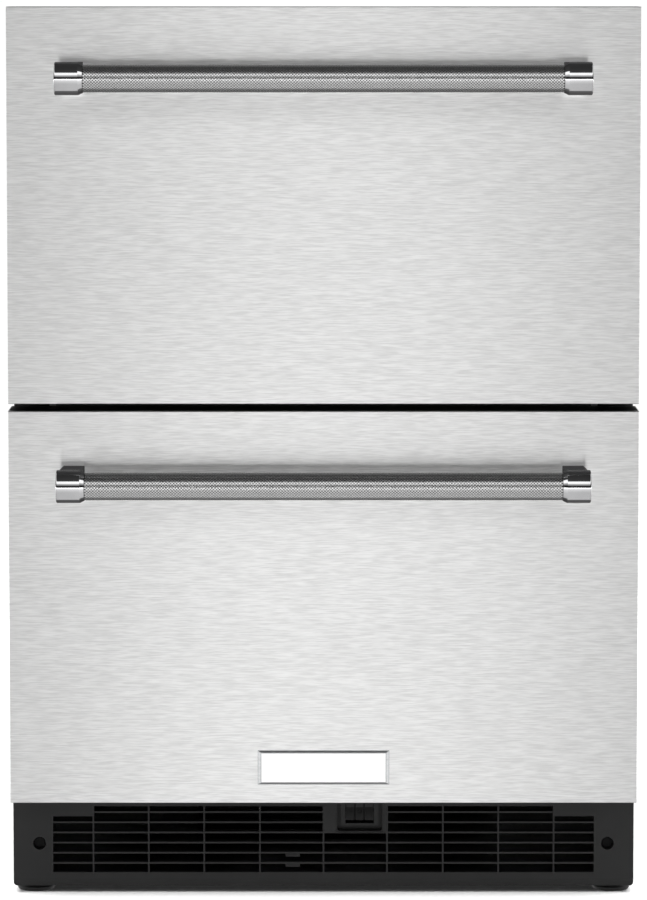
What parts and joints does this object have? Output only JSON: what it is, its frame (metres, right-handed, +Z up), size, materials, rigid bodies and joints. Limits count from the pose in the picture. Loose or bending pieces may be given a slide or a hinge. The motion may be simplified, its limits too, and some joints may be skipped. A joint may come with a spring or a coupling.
{
  "type": "under counter fridge",
  "caption": "Built-in under-counter refrigerator with stacked pull-out drawers, tubular handles, a louvred toe kick and a bottom-rear compressor compartment.",
  "frame": {"origin": "on the floor plane through the feet, at the middle of the overall width and depth", "axes": "+X to the right seen from the front, -Y towards the user (the drawers open along -Y), +Z up"},
  "size_m": [0.606, 0.66, 0.864],
  "materials": {
    "stainless": "horizontally brushed",
    "knurled_steel": "finely textured satin",
    "chrome": "polished",
    "badge_metal": "bright bevelled plate",
    "black_plastic": "fine moulded grain",
    "switch_black": "semi-gloss",
    "white_plastic": "smooth moulded",
    "grey_plastic": "smooth moulded",
    "bin_plastic": "smooth moulded",
    "lens": "frosted",
    "foam": "foamed in place",
    "gasket": "soft matt",
    "mount_rubber": "matt",
    "painted_steel": "textured powder coat",
    "zinc_steel": "zinc-plated sheet",
    "compressor_paint": "semi-gloss enamel",
    "coil_black": "dip-painted",
    "fin_aluminium": "mill finish",
    "copper": "drawn tube"
  },
  "bodies": {
    "cabinet": {"outer_wrapper": "painted_steel", "back_panel": "zinc_steel", "cabinet_foam": "foam", "inner_liner": "white_plastic", "machine_deck": "zinc_steel", "mullion": "grey_plastic", "counter_brackets": "zinc_steel", "base_frame": "zinc_steel", "toe_kick_grille": "black_plastic", "toe_kick_screws": "zinc_steel", "switch_housing": "switch_black", "compressor": "compressor_paint", "compressor_mounts": "mount_rubber", "terminal_cover": "black_plastic", "condenser_coil": "coil_black", "condenser_fan_shroud": "zinc_steel", "condenser_fan_motor": "zinc_steel", "filter_drier": "copper", "refrigerant_pipes": "copper", "drip_tray": "black_plastic", "machine_cover": "zinc_steel", "cord_gland": "black_plastic", "evaporator_coil": "fin_aluminium", "evaporator_cover": "white_plastic", "evaporator_fan_motor": "black_plastic", "control_panel": "grey_plastic", "lamp_lens": "lens", "upper_outer_rails": "zinc_steel", "lower_outer_rails": "zinc_steel"},
    "upper_drawer": {"upper_front_skin": "stainless", "upper_front_end_caps": "black_plastic", "upper_front_foam": "foam", "upper_front_inner_panel": "white_plastic", "upper_gasket": "gasket", "upper_handle_bar": "knurled_steel", "upper_handle_posts": "chrome", "upper_bin": "bin_plastic", "upper_inner_rails": "zinc_steel"},
    "lower_drawer": {"lower_front_skin": "stainless", "lower_front_end_caps": "black_plastic", "lower_front_foam": "foam", "lower_front_inner_panel": "white_plastic", "lower_gasket": "gasket", "lower_handle_bar": "knurled_steel", "lower_handle_posts": "chrome", "lower_bin": "bin_plastic", "lower_inner_rails": "zinc_steel", "badge": "badge_metal"},
    "upper_middle_slide_members": {"upper_middle_rails": "zinc_steel"},
    "lower_middle_slide_members": {"lower_middle_rails": "zinc_steel"},
    "power_switch": {"rocker": "switch_black"},
    "foot_front_left": {"foot_front_left": "black_plastic"},
    "foot_front_right": {"foot_front_right": "black_plastic"},
    "foot_rear_left": {"foot_rear_left": "black_plastic"},
    "foot_rear_right": {"foot_rear_right": "black_plastic"},
    "condenser_fan": {"condenser_fan_rotor": "black_plastic"},
    "evaporator_fan": {"evaporator_fan_rotor": "black_plastic"},
    "power_button": {"power_button": "black_plastic"},
    "colder_button": {"colder_button": "black_plastic"},
    "warmer_button": {"warmer_button": "black_plastic"}
  },
  "joints": [
    {"name": "upper_drawer_slide", "type": "slide", "parent": "cabinet", "child": "upper_drawer", "axis": [0, -1, 0], "range_m": [0, 0.38]},
    {"name": "upper_middle_slide", "type": "slide", "parent": "cabinet", "child": "upper_middle_slide_members", "axis": [0, -1, 0], "range_m": [0, 0.19]},
    {"name": "lower_drawer_slide", "type": "slide", "parent": "cabinet", "child": "lower_drawer", "axis": [0, -1, 0], "range_m": [0, 0.38]},
    {"name": "lower_middle_slide", "type": "slide", "parent": "cabinet", "child": "lower_middle_slide_members", "axis": [0, -1, 0], "range_m": [0, 0.19]},
    {"name": "power_switch_rocker", "type": "hinge", "parent": "cabinet", "child": "power_switch", "pos_m": [0.0352, -0.2265, 0.08], "axis": [1, 0, 0], "range_deg": [0, 20]},
    {"name": "foot_front_left_thread", "type": "slide", "parent": "cabinet", "child": "foot_front_left", "axis": [0, 0, -1], "range_m": [0, 0.025]},
    {"name": "foot_front_right_thread", "type": "slide", "parent": "cabinet", "child": "foot_front_right", "axis": [0, 0, -1], "range_m": [0, 0.025]},
    {"name": "foot_rear_left_thread", "type": "slide", "parent": "cabinet", "child": "foot_rear_left", "axis": [0, 0, -1], "range_m": [0, 0.025]},
    {"name": "foot_rear_right_thread", "type": "slide", "parent": "cabinet", "child": "foot_rear_right", "axis": [0, 0, -1], "range_m": [0, 0.025]},
    {"name": "condenser_fan_spin", "type": "hinge", "parent": "cabinet", "child": "condenser_fan", "pos_m": [-0.002, 0.222, 0.108], "axis": [1, 0, 0], "continuous": true},
    {"name": "evaporator_fan_spin", "type": "hinge", "parent": "cabinet", "child": "evaporator_fan", "pos_m": [0, 0.25, 0.712], "axis": [0, 1, 0], "continuous": true},
    {"name": "power_button_press", "type": "slide", "parent": "cabinet", "child": "power_button", "axis": [0, 1, 0], "range_m": [0, 0.001], "stiffness_N_per_m": 800},
    {"name": "colder_button_press", "type": "slide", "parent": "cabinet", "child": "colder_button", "axis": [0, 1, 0], "range_m": [0, 0.001], "stiffness_N_per_m": 800},
    {"name": "warmer_button_press", "type": "slide", "parent": "cabinet", "child": "warmer_button", "axis": [0, 1, 0], "range_m": [0, 0.001], "stiffness_N_per_m": 800}
  ],
  "couplings": [
    {"joint": "upper_middle_slide", "follows": "upper_drawer_slide", "ratio": 0.5},
    {"joint": "lower_middle_slide", "follows": "lower_drawer_slide", "ratio": 0.5}
  ]
}
